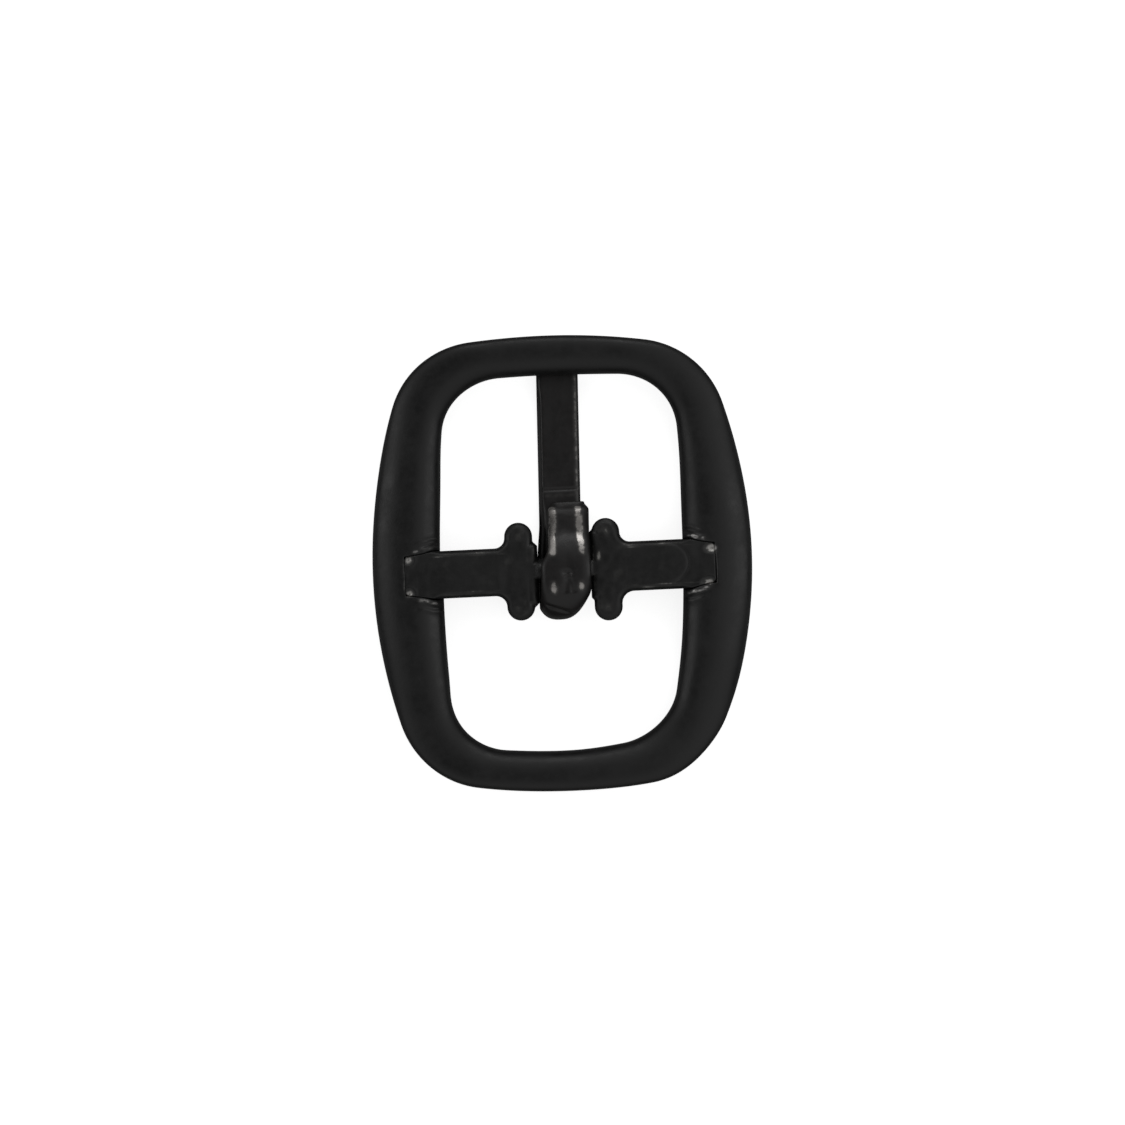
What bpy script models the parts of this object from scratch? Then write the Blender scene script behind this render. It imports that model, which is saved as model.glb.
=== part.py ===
"""Centre-bar belt buckle for a 25 mm strap.

The buckle lies face down: +Z is the back, where the bar is let into the
frame, +X runs along the bar, +Y points at the tip of the tongue.  Z = 0 is
the plane that the two flat lands on the front of the side rails rest on.
"""
import bpy
import bmesh
from math import pi, sin, cos, atan2, sqrt, hypot, radians, exp
from mathutils import Matrix, Vector

MM = 0.001

# ---- frame: oval ring, domed on both sides, slightly bowed (mm) ----------
OUT_A, OUT_B = 20.34, 24.44            # half width, half height
OUT_RS, OUT_RT, OUT_RC = 54.2, 70.5, 10.1   # side, end and corner radii
INN_A, INN_B = 13.07, 20.21
INN_RS, INN_RT, INN_RC = 146.0, 92.4, 6.53
RAIL_T_SIDE, RAIL_T_END = 4.8, 3.2     # rail thickness at the crest
MID_Z = 2.4                            # mid plane of the side rails
EDGE_H = 0.42                          # half height of the edge walls
CREST = 0.43                           # crest, as a share of rail width from inside
LAND = 0.10                            # half width of the front land, same share
BOW, BOW_FROM = 1.6, 9.0               # rise of the end rails, start of the bow
SWELL = 0.28                           # the left rail is this much wider below the bar
# cast unevenness of the outlines: (direction and spread in degrees, mm)
UNEVEN_IN = ((54, 20, 0.52), (-62, 17, -0.75), (130, 12, 0.33))
UNEVEN_OUT = ((0, 35, 0.16), (-52, 12, -0.50), (132, 18, 0.28), (-112, 18, 0.13))
N_SIDE, N_CORNER, N_END = 7, 9, 7      # stations on each quarter
N_DOME = 6                             # steps from crest to edge

# ---- bar: flat bar with four tongue stops and a round neck ---------------
BAR_Y, BAR_Z = -0.68, 3.6              # centre of the bar, and the hinge axis
BAR_TILT = 1.4                         # degrees that the bar sits askew in the frame
BAR_HALF_W = {-1: 2.56, 1: 2.66}       # left and right of the tongue
BAR_T = 2.2
BAR_END, TAB_FROM, TAB_HALF_W = {-1: 16.9, 1: 16.55}, 13.9, 2.1
BAR_BEVEL = 0.3
STOP_LEFT, STOP_RIGHT, STOP_R = 4.55, 4.88, 1.48
STOP_TIPS = {(-1, 1): 5.25, (-1, -1): 5.3, (1, 1): 5.3, (1, -1): 5.72}
STOP_FILLET = 1.3
NECK_R = 1.05
NECK_LEFT, NECK_RIGHT = -2.95, 3.4

# ---- notches in the side rails for the bar's tabs ------------------------
GAP = 0.3
NOTCH_HALF_IN, NOTCH_HALF_END = 2.98, 2.42   # and the notch ends GAP past the bar
LIP_LEN, LIP_WIDE, LIP_TALL = 2.9, 0.9, 1.3  # bead of metal along each notch side

# ---- tongue: one bent strip, curled round the neck ------------------------
STRIP_W, STRIP_T = 4.55, 1.5
CURL_W, BEND_W, TOP_W, FREE_W = 4.9, 5.36, 5.25, 4.2   # widths under, round and over the neck, and at the free end
EYE_A, EYE_B = 4.62, 2.15              # half axes of the curl's centre line
TIP_Y, TIP_Z = 23.0, -2.62             # end of the prong, from the hinge axis
END_Y, END_Z = 7.05, -1.02              # free end of the curl
SKEW_ROOT, SKEW_BEND, SKEW_TOP, SKEW_END = -0.19, 0.40, 0.46, 1.0   # sideways drift of the strip
ROUND_END = 0.25                       # how far the curl's corners fall back
STRIP_ACROSS = 5                       # spans across the strip's wide faces


def smooth(a, b, x):
    t = min(1.0, max(0.0, (x - a) / (b - a)))
    return t * t * (3 - 2 * t)


def corner_centre(a, b, rs, rt, rc):
    """Centre of the corner arc that blends a side arc into an end arc."""
    c1, c2 = Vector((a - rs, 0)), Vector((0, b - rt))
    d1, d2 = rs - rc, rt - rc
    dist = (c2 - c1).length
    along = (d1 * d1 - d2 * d2 + dist * dist) / (2 * dist)
    h = sqrt(d1 * d1 - along * along)
    e = (c2 - c1) / dist
    n = Vector((-e.y, e.x))
    for sign in (1, -1):
        c = c1 + e * along + n * h * sign
        if c.x > 0 and c.y > 0:
            return c1, c2, c
    raise ValueError("the arcs do not meet")


def quarter_points(a, b, rs, rt, rc):
    """Points from +X to +Y along the three arcs of a quarter outline."""
    c1, c2, c = corner_centre(a, b, rs, rt, rc)
    a1 = atan2(c.y - c1.y, c.x - c1.x)
    a2 = atan2(c.y - c2.y, c.x - c2.x)
    pts = []
    for i in range(N_SIDE):
        t = a1 * i / N_SIDE
        pts.append(c1 + Vector((cos(t), sin(t))) * rs)
    for i in range(N_CORNER):
        t = a1 + (a2 - a1) * i / N_CORNER
        pts.append(c + Vector((cos(t), sin(t))) * rc)
    for i in range(N_END + 1):
        t = a2 + (pi / 2 - a2) * i / N_END
        pts.append(c2 + Vector((cos(t), sin(t))) * rt)
    return pts


def uneven(theta, bumps):
    deg = theta * 180 / pi
    return sum(h * exp(-(((deg - at + 180) % 360 - 180) / spread) ** 2) for at, spread, h in bumps)


def ray_radius(theta, a, b, rs, rt, rc):
    """Distance from the centre to the outline in the direction theta."""
    c1, c2, c = corner_centre(a, b, rs, rt, rc)
    t1 = c1 + (c - c1).normalized() * rs
    t2 = c2 + (c - c2).normalized() * rt
    u = Vector((abs(cos(theta)), abs(sin(theta))))
    ang = atan2(u.y, u.x)
    if ang < atan2(t1.y, t1.x):
        o, r = c1, rs
    elif ang > atan2(t2.y, t2.x):
        o, r = c2, rt
    else:
        o, r = c, rc
    d = u.dot(o)
    return d + sqrt(d * d - o.dot(o) + r * r)


def bow(y):
    t = max(0.0, abs(y) - BOW_FROM) / (OUT_B - BOW_FROM)
    return BOW * t * t


def rail_thickness(y):
    return RAIL_T_SIDE + (RAIL_T_END - RAIL_T_SIDE) * smooth(BOW_FROM, INN_B, abs(y))


def dome_section():
    """(share of rail width, height share, side) round one rail section."""
    back, front = [], []
    for i in range(2 * N_DOME + 1):
        ang = -pi / 2 + pi * i / (2 * N_DOME)
        h = cos(ang)
        s = sin(ang)
        back.append((CREST + s * (CREST if s < 0 else 1 - CREST), h, 1))
        if s < -1e-6:
            front.append((CREST - LAND + s * (CREST - LAND), h, -1))
        elif s > 1e-6:
            front.append((CREST + LAND + s * (1 - CREST - LAND), h, -1))
        else:
            front += [(CREST - LAND, 1.0, -1), (CREST + LAND, 1.0, -1)]
    return back + front[::-1]


def new_object(name, bm, material, location=(0, 0, 0)):
    mesh = bpy.data.meshes.new(name)
    bmesh.ops.recalc_face_normals(bm, faces=bm.faces)
    bm.to_mesh(mesh)
    bm.free()
    obj = bpy.data.objects.new(name, mesh)
    bpy.context.scene.collection.objects.link(obj)
    obj.location = [v * MM for v in location]
    if material is not None:
        mesh.materials.append(material)
    return obj


def finish_shading(obj, angle=38):
    obj.data.shade_smooth()
    obj.data.set_sharp_from_angle(angle=radians(angle))


def loft(rings, closed):
    """Quads between rings of equal length; ends capped when not closed."""
    bm = bmesh.new()
    rows = [[bm.verts.new(Vector(p) * MM) for p in ring] for ring in rings]
    n, m = len(rows), len(rows[0])
    for i in range(n if closed else n - 1):
        a, b = rows[i], rows[(i + 1) % n]
        for j in range(m):
            k = (j + 1) % m
            bm.faces.new((a[j], a[k], b[k], b[j]))
    if not closed:
        bm.faces.new(rows[0][::-1])
        bm.faces.new(rows[-1])
    return bm


def prism(outline, z0, z1):
    """Extrude a flat outline from z0 to z1."""
    bm = bmesh.new()
    low = [bm.verts.new(Vector((x, y, z0)) * MM) for x, y in outline]
    face = bm.faces.new(low)
    out = bmesh.ops.extrude_face_region(bm, geom=[face])
    top = [v for v in out["geom"] if isinstance(v, bmesh.types.BMVert)]
    bmesh.ops.translate(bm, verts=top, vec=(0, 0, (z1 - z0) * MM))
    return bm


def helper(obj):
    obj.hide_render = True
    obj.display_type = "WIRE"
    return obj


def boolean(obj, other, operation):
    mod = obj.modifiers.new(operation.lower() + "_" + other.name, "BOOLEAN")
    mod.operation = operation
    mod.solver = "EXACT"
    mod.object = helper(other)


def material(name, colour, roughness, metallic):
    mat = bpy.data.materials.new(name)
    mat.use_nodes = True
    shader = mat.node_tree.nodes["Principled BSDF"]
    shader.inputs["Base Color"].default_value = (*colour, 1.0)
    shader.inputs["Roughness"].default_value = roughness
    shader.inputs["Metallic"].default_value = metallic
    return mat


# ---------------------------------------------------------------- pieces --
def frame_mesh():
    quarter = quarter_points(OUT_A, OUT_B, OUT_RS, OUT_RT, OUT_RC)
    angles = [atan2(p.y, p.x) for p in quarter]
    full = angles[:]
    full += [pi - a for a in angles[-2::-1]]
    full += [pi + a for a in angles[1:]]
    full += [2 * pi - a for a in angles[-2:0:-1]]
    section = dome_section()
    rings = []
    for theta in full:
        ri = ray_radius(theta, INN_A, INN_B, INN_RS, INN_RT, INN_RC)
        ro = ray_radius(theta, OUT_A, OUT_B, OUT_RS, OUT_RT, OUT_RC)
        ri, ro = ri + uneven(theta, UNEVEN_IN), ro + uneven(theta, UNEVEN_OUT)
        if cos(theta) < 0:
            y = ri * sin(theta)
            ri -= SWELL * smooth(-1.0, -3.5, y) * smooth(-18.5, -12.0, y)
        ring = []
        for share, height, side in section:
            r = ri + (ro - ri) * share
            x, y = r * cos(theta), r * sin(theta)
            half = rail_thickness(y) / 2
            z = MID_Z + bow(y) + side * (EDGE_H + (half - EDGE_H) * height)
            ring.append((x, y, z))
        rings.append(ring)
    return loft(rings, closed=True)


def askew(x, y):
    """A point given from the bar's centre, turned with the bar."""
    t = radians(BAR_TILT)
    return x * cos(t) - y * sin(t), BAR_Y + x * sin(t) + y * cos(t)


def notch_cutter(sign):
    xs = (INN_A - 2.0, BAR_END[sign] + GAP)
    slope = (NOTCH_HALF_IN - NOTCH_HALF_END) / (xs[1] - INN_A)
    wide = NOTCH_HALF_IN + slope * 2.0
    pts = [(xs[0], -wide), (xs[1], -NOTCH_HALF_END),
           (xs[1], NOTCH_HALF_END), (xs[0], wide)]
    pts = [askew(sign * x, y) for x, y in pts]
    return prism(pts, BAR_Z - BAR_T / 2 - GAP, 8.0)


def lip(sign_x, sign_y):
    """Bead of metal along one side of a notch, lying on the dome's slope."""
    bm = bmesh.new()
    bmesh.ops.create_uvsphere(bm, u_segments=12, v_segments=8, radius=0.5)
    bmesh.ops.rotate(bm, verts=bm.verts, matrix=Matrix.Rotation(pi / 2, 3, "Y"))
    bmesh.ops.scale(bm, verts=bm.verts, vec=Vector((LIP_LEN, LIP_WIDE, LIP_TALL)) * MM)
    turn = atan2(NOTCH_HALF_IN - NOTCH_HALF_END, BAR_END[sign_x] + GAP - INN_A)
    slope = Matrix.Rotation(-radians(27) * sign_x, 4, "Y")
    plan = Matrix.Rotation(-turn * sign_x * sign_y, 4, "Z")
    bmesh.ops.transform(bm, matrix=plan @ slope, verts=bm.verts)
    x, y = askew(sign_x * (INN_A + 1.3), sign_y * (NOTCH_HALF_IN + 0.2))
    obj = new_object("lip_%s_%s" % ("r" if sign_x > 0 else "l", "u" if sign_y > 0 else "d"),
                     bm, None, (x, y, MID_Z + 1.6))
    obj.rotation_euler = (0, 0, radians(BAR_TILT))
    return obj


def bar_edge(sign, inner_x, stop_x, tip):
    """One long edge of half of the bar, from the inner end outwards."""
    w, mid, end = BAR_HALF_W[sign], tip - STOP_R, BAR_END[sign]
    up = []
    if stop_x - STOP_R - inner_x > 0.1:         # shoulder that reaches the neck
        up.append((inner_x, w + 0.3))
    steps = 10
    for i in range(steps + 1):
        t = pi - pi * i / steps
        up.append((stop_x + STOP_R * cos(t), mid + STOP_R * sin(t)))
    f = min(STOP_FILLET, mid - w - 0.1)
    for i in range(5):
        t = pi + (pi / 2) * i / 4
        up.append((stop_x + STOP_R + f + f * cos(t), w + f + f * sin(t) if i < 4 else w))
    return up + [(TAB_FROM, w), (end - 0.3, TAB_HALF_W + 0.05), (end, TAB_HALF_W - 0.25)]


def bar_half(name, sign, inner_x):
    stop_x = STOP_RIGHT if sign > 0 else STOP_LEFT
    pts = []
    for side in (1, -1):
        edge = bar_edge(sign, abs(inner_x), stop_x, STOP_TIPS[sign, side])
        pts += [(sign * x, side * y) for x, y in edge[::side]]
    obj = new_object(name, prism(pts, -BAR_T / 2, BAR_T / 2), None,
                     (0, BAR_Y, BAR_Z))
    obj.rotation_euler = (0, 0, radians(BAR_TILT))
    weight = obj.data.attributes.new("bevel_weight_edge", "FLOAT", "EDGE")
    for edge in obj.data.edges:                 # only the rims, not the corners
        a, b = (obj.data.vertices[v].co.z for v in edge.vertices)
        weight.data[edge.index].value = 1.0 if abs(a - b) < 1e-6 else 0.0
    bev = obj.modifiers.new("edge", "BEVEL")
    bev.width = BAR_BEVEL * MM
    bev.segments = 2
    bev.limit_method = "WEIGHT"
    return obj


def neck():
    bm = bmesh.new()
    bmesh.ops.create_cone(bm, cap_ends=True, segments=24, radius1=NECK_R * MM,
                          radius2=NECK_R * MM, depth=(NECK_RIGHT - NECK_LEFT + 1.6) * MM)
    x, y = askew((NECK_LEFT + NECK_RIGHT) / 2, 0)
    obj = new_object("neck", bm, None, (x, y, BAR_Z))
    obj.rotation_euler = (0, radians(90), radians(BAR_TILT))
    return obj


def strip_path():
    """Centre line (y, z), width, thickness and sideways shift of the strip."""
    path = []
    n = 20
    for i in range(n + 1):                      # prong, from its rounded tip
        t = (i / n) ** 1.7
        y = TIP_Y * (1 - t)
        z = TIP_Z + (-EYE_B - TIP_Z) * t
        root = smooth(-5.0, -1.0, -y)
        w = STRIP_W * (0.62 + 0.38 * sqrt(max(0.0, 1 - (1 - min(1, t / 0.085)) ** 2)))
        w += (CURL_W - STRIP_W) * root
        th = 1.15 + (STRIP_T - 1.15) * smooth(0.0, 0.75, t) - 0.35 * (1 - smooth(0.0, 0.1, t))
        path.append((y, z, w, th, SKEW_ROOT * root))
    n = 16
    for i in range(1, n + 1):                   # bend round the neck
        t = i / n
        ang = -pi / 2 - pi * t
        bend, top = smooth(0.42, 0.80, t), smooth(0.80, 1.0, t)
        w = CURL_W + (BEND_W - CURL_W) * bend + (TOP_W - BEND_W) * top
        shift = SKEW_ROOT + (SKEW_BEND - SKEW_ROOT) * bend + (SKEW_TOP - SKEW_BEND) * top
        path.append((EYE_A * cos(ang), EYE_B * sin(ang), w, STRIP_T, shift))
    n = 12
    p0, p1 = Vector((0, EYE_B)), Vector((3.4, EYE_B))
    p3 = Vector((END_Y, END_Z))
    p2 = p3 + Vector((-2.5, 0.85))
    for i in range(1, n + 1):                   # back over the neck to the prong
        t = i / n
        p = p0 * (1 - t) ** 3 + p1 * 3 * t * (1 - t) ** 2 + p2 * 3 * t * t * (1 - t) + p3 * t ** 3
        free = smooth(0.3, 2.5, p.x)
        w = TOP_W + (FREE_W - TOP_W) * free - 1.0 * smooth(END_Y - 1.2, END_Y, p.x)
        th = STRIP_T - 0.35 * smooth(0.3, 1.0, t) - 0.3 * smooth(0.86, 1.0, t)
        path.append((p.x, p.y, w, th, SKEW_TOP + (SKEW_END - SKEW_TOP) * free))
    return path


def strip_section(w, th):
    """Rounded rectangle across the strip: (x, normal offset)."""
    r = min(0.55, th * 0.42, w * 0.3)
    pts = []
    flat = w - 2 * r
    for cx, cy, a0 in ((w / 2 - r, th / 2 - r, 0), (-w / 2 + r, th / 2 - r, 90),
                       (-w / 2 + r, -th / 2 + r, 180), (w / 2 - r, -th / 2 + r, 270)):
        for i in range(4):
            a = radians(a0 + 30 * i)
            pts.append((cx + r * cos(a), cy + r * sin(a)))
        if a0 in (0, 180):                      # points across the wide faces
            step = flat / STRIP_ACROSS * (-1 if a0 == 0 else 1)
            pts += [(pts[-1][0] + step * k, pts[-1][1]) for k in range(1, STRIP_ACROSS)]
    return pts


def tongue_mesh():
    path = strip_path()
    c, s = cos(radians(BAR_TILT)), sin(radians(BAR_TILT))
    rings = []
    for i, (y, z, w, th, shift) in enumerate(path):
        a, b = path[max(0, i - 1)], path[min(len(path) - 1, i + 1)]
        d = Vector((b[0] - a[0], b[1] - a[1])).normalized()
        nrm = Vector((d.y, -d.x))
        ring = []
        for x, off in strip_section(w, th):
            py, pz = y + nrm.x * off, z + nrm.y * off
            if py < 0:                          # the curl's end is round in plan
                py *= 1 - ROUND_END * abs((x + 0.3) / (w / 2)) ** 2.6 * smooth(0, 2.0, -py)
            px = x + shift                      # the tongue lies square to the frame
            ring.append((px * c + py * s, -px * s + py * c, pz))
        rings.append(ring)
    return loft(rings, closed=False)


def build():
    for obj in list(bpy.data.objects):
        bpy.data.objects.remove(obj, do_unlink=True)
    black = material("black_enamel", (0.021, 0.021, 0.022), 0.38, 0.35)
    black_bar = material("black_bar", (0.019, 0.019, 0.019), 0.42, 0.35)
    black_tongue = material("black_tongue", (0.026, 0.024, 0.024), 0.34, 0.45)

    frame = new_object("frame", frame_mesh(), black)
    for sign in (1, -1):
        for side in (1, -1):
            boolean(frame, lip(sign, side), "UNION")
    for sign in (1, -1):
        cutter = new_object("notch_%d" % sign, notch_cutter(sign), None)
        boolean(frame, cutter, "DIFFERENCE")
    finish_shading(frame)

    bar = bar_half("centre_bar", 1, NECK_RIGHT)
    bar.data.materials.append(black_bar)
    other = bar_half("bar_left", -1, NECK_LEFT)
    boolean(bar, neck(), "UNION")
    boolean(bar, other, "UNION")
    finish_shading(bar)

    axis = bpy.data.objects.new("hinge_axis", None)
    bpy.context.scene.collection.objects.link(axis)
    axis.location = (0, BAR_Y * MM, BAR_Z * MM)
    axis.rotation_euler = (0, 0, radians(BAR_TILT))
    tongue = new_object("tongue", tongue_mesh(), black_tongue)
    tongue.parent = axis
    finish_shading(tongue, 50)


build()
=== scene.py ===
from math import pi, sin, cos, atan2, sqrt, radians, exp, hypot

import bmesh
import bpy
import numpy as np
from mathutils import Matrix, Vector, noise


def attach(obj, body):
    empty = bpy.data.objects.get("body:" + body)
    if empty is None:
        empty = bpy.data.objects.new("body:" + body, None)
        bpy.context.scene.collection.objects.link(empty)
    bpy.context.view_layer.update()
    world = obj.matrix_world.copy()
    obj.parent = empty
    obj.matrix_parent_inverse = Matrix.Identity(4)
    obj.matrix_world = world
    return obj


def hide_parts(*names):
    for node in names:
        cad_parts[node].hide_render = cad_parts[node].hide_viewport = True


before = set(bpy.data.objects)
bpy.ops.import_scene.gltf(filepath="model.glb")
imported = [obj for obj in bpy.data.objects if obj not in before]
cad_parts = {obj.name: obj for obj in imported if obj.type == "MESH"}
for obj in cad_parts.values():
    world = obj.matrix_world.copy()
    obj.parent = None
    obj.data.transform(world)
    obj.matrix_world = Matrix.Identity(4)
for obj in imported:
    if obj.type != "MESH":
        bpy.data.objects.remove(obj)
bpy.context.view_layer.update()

MM = 0.001

# ------------------------------------------------------------ dimensions --
# The same driving dimensions as the CAD model, in millimetres.
OUT = (20.34, 24.44, 54.2, 70.5, 10.1)       # half width, half height, side, end and corner radius
INN = (13.07, 20.21, 146.0, 92.4, 6.53)
RAIL_T_SIDE, RAIL_T_END = 4.8, 3.2
MID_Z, EDGE_H = 2.4, 0.42
CREST, LAND = 0.43, 0.10
BOW, BOW_FROM = 1.6, 9.0
SWELL = 0.28                                 # the left rail is this much wider below the bar
# cast unevenness of the outlines: (direction and spread in degrees, mm)
UNEVEN_IN = ((54, 20, 0.52), (-62, 17, -0.75), (130, 12, 0.33))
UNEVEN_OUT = ((0, 35, 0.16), (-52, 12, -0.50), (132, 18, 0.28), (-112, 18, 0.13))
BAR_Y, BAR_Z, BAR_TILT = -0.68, 3.6, 1.4
BAR_HALF_W, BAR_T = {-1: 2.56, 1: 2.66}, 2.2     # left and right of the tongue
BAR_END, TAB_FROM, TAB_HALF_W = {-1: 16.9, 1: 16.55}, 13.9, {-1: 2.16, 1: 2.20}
STOP_LEFT, STOP_RIGHT, STOP_R, STOP_FILLET = 4.52, 4.86, 1.5, 1.3
STOP_TIPS = {(-1, 1): 5.22, (-1, -1): 5.30, (1, 1): 5.30, (1, -1): 5.72}
PUNCH = {(-1, 1): (16.42, 1.76), (-1, -1): (16.46, 1.90), (1, 1): (16.40, 1.56), (1, -1): (15.92, 2.12)}
SHOULDERS = {(-1, 1): 3.0, (-1, -1): 3.85, (1, 1): 4.2, (1, -1): 3.55}
NECK_R, NECK_LEFT, NECK_RIGHT = 1.26, -2.53, 3.09
GAP = 0.3
STRIP_W, STRIP_T = 4.5, 1.5
CURL_W, BEND_W, TOP_W, FREE_W = 4.8, 5.42, 5.30, 4.42
EYE_A, EYE_B = 4.64, 2.15
TIP_Y, TIP_Z = 23.0, -2.62
END_Y, END_Z = 7.05, -1.02
SKEW_ROOT, SKEW_BEND, SKEW_TOP, SKEW_END = -0.15, 0.40, 0.47, 0.90
ROUND_END = 0.25
TILT_S, TILT_C = sin(radians(BAR_TILT)), cos(radians(BAR_TILT))


def smooth(a, b, x):
    t = min(1.0, max(0.0, (x - a) / (b - a)))
    return t * t * (3 - 2 * t)


def bell(x, width):
    return exp(-(x / width) ** 2)


def to_bar(x, y):
    """Along and across the bar, from its centre."""
    return x * TILT_C + (y - BAR_Y) * TILT_S, (y - BAR_Y) * TILT_C - x * TILT_S


def from_bar(u, v):
    return u * TILT_C - v * TILT_S, BAR_Y + u * TILT_S + v * TILT_C


def tab_half(u, sign):
    """Half width of the bar's tab, u from the middle."""
    t = min(1.0, max(0.0, (u - TAB_FROM) / (BAR_END[sign] - TAB_FROM)))
    return BAR_HALF_W[sign] + (TAB_HALF_W[sign] - BAR_HALF_W[sign]) * t


def uneven(theta, bumps):
    deg = theta * 180 / pi
    return sum(h * exp(-(((deg - at + 180) % 360 - 180) / spread) ** 2) for at, spread, h in bumps)


# ----------------------------------------------------------------- frame --
def corner(outline):
    a, b, rs, rt, rc = outline
    c1, c2 = Vector((a - rs, 0)), Vector((0, b - rt))
    d1, d2 = rs - rc, rt - rc
    dist = (c2 - c1).length
    along = (d1 * d1 - d2 * d2 + dist * dist) / (2 * dist)
    h = sqrt(d1 * d1 - along * along)
    e = (c2 - c1) / dist
    n = Vector((-e.y, e.x))
    c = max((c1 + e * along + n * h * s for s in (1, -1)), key=lambda p: min(p.x, p.y))
    t1 = c1 + (c - c1).normalized() * rs
    t2 = c2 + (c - c2).normalized() * rt
    return c1, c2, c, atan2(t1.y, t1.x), atan2(t2.y, t2.x)


CORNERS = {o: corner(o) for o in (OUT, INN)}


def radius(theta, outline):
    a, b, rs, rt, rc = outline
    c1, c2, c, a1, a2 = CORNERS[outline]
    u = Vector((abs(cos(theta)), abs(sin(theta))))
    ang = atan2(u.y, u.x)
    o, r = (c1, rs) if ang < a1 else (c2, rt) if ang > a2 else (c, rc)
    d = u.dot(o)
    return d + sqrt(d * d - o.dot(o) + r * r)


def bow(y):
    t = max(0.0, abs(y) - BOW_FROM) / (OUT[1] - BOW_FROM)
    return BOW * t * t


def rail_t(y):
    return RAIL_T_SIDE + (RAIL_T_END - RAIL_T_SIDE) * smooth(BOW_FROM, INN[1], abs(y))


def stations():
    """Directions round the ring: close together beside the notches."""
    out, theta = [], 0.0
    while theta < 2 * pi - 1e-9:
        out.append(theta)
        r = radius(theta, OUT)
        y = 0.84 * r * sin(theta)
        v = abs(to_bar(0.84 * r * cos(theta), y)[1])
        step = 0.055 if 1.3 < v < 3.6 else 0.12 if v < 5.2 else 0.42
        theta += step / r
    return out


def section():
    """(share of rail width, height share, side) round one section of the rail."""
    n, back, front = 34, [], []
    for i in range(-n, n + 1):
        ang = (pi / 2) * i / n
        s = sin(ang)
        back.append((CREST + s * (CREST if s < 0 else 1 - CREST), cos(ang), 1))
    for k in range(9):                          # extra rows at the notch's end wall
        share = 0.520 + 0.008 * k
        s = (share - CREST) / (1 - CREST)
        back.append((share, sqrt(1 - s * s), 1))
    back.sort(key=lambda p: p[0])
    n = 16
    for i in range(-n, n + 1):
        ang = (pi / 2) * i / n
        s = sin(ang)
        if i < 0:
            front.append((CREST - LAND + s * (CREST - LAND), cos(ang), -1))
        elif i > 0:
            front.append((CREST + LAND + s * (1 - CREST - LAND), cos(ang), -1))
        else:
            front += [(CREST - LAND, 1.0, -1), (CREST + LAND, 1.0, -1)]
    return back + front[::-1]


def notch(x, y, z):
    """Height on the back of a rail, with the notch and the metal that was staked over its sides, and the strength of
    the painted highlights along the notch and of the punch marks.
    """
    u, v = to_bar(x, y)
    sign, side_of_bar = (1 if u > 0 else -1), (1 if v > 0 else -1)
    u, v = abs(u), abs(v)
    if u > 19.5 or v > 6.5:
        return z, 0.0
    # a hairline beside the tab at the mouth, closed by staking further in
    half = tab_half(u, sign) + 0.06 - 0.16 * smooth(13.6, 14.9, u)
    side, end = v - half, u - (BAR_END[sign] - 0.10)
    inside = max(side, end)
    if side > 0 and end > 0:
        inside = hypot(side, end)
    floor = BAR_Z - BAR_T / 2 - GAP
    # the rail is filled out towards the tab, so that both lie nearly level
    level = BAR_Z + BAR_T / 2 + 0.02
    near = smooth(1.0, 0.1, side) * smooth(17.9, 16.9, u)
    if z < level:
        z += (level - z) * 0.85 * near * smooth(12.9, 14.6, u)
    # bead pushed up beside the tab on the inner slope, and a low swelling round it
    bead = 0.19 * bell(side - 0.42, 0.34) * smooth(16.0, 14.6, u) * smooth(12.9, 13.6, u)
    bead += 0.10 * bell(side - 1.30, 0.28) * smooth(15.8, 14.8, u)
    crater = hypot(u - PUNCH[sign, side_of_bar][0], v - PUNCH[sign, side_of_bar][1])
    z += bead * (1 if inside > -0.05 else 0)
    z -= 0.10 * bell(crater, 0.55) * (1 if inside > 0 else 0)
    m = smooth(-0.07, 0.05, inside)
    if z > floor:
        z = floor + (z - floor) * m
    # painted highlights: light lines on the beads along the notch's lips and beyond the tab's end; at the punch
    # craters uncoated metal, which also stands in for bright highlight spots
    rough = 0.65 + 0.6 * noise.noise(Vector((u * 1.7, v * 4.0, side_of_bar + x * 0.1)))
    rim_glint_and_wear = 0.96 * bell(side - 0.38, 0.32) * smooth(16.6, 15.4, u) * smooth(13.1, 13.6, u) * rough
    rim_glint_and_wear = max(rim_glint_and_wear, 0.50 * bell(side - 1.28, 0.20) * smooth(15.6, 14.9, u) * rough)
    rim_glint_and_wear = max(rim_glint_and_wear, 0.52 * bell(end - 0.16, 0.15) * smooth(half - 0.2, half - 0.8, v))
    rim_glint_and_wear = max(rim_glint_and_wear, 0.95 * bell(crater, 0.42) * (1 if inside > -0.05 else 0.3))
    return z, rim_glint_and_wear


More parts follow.
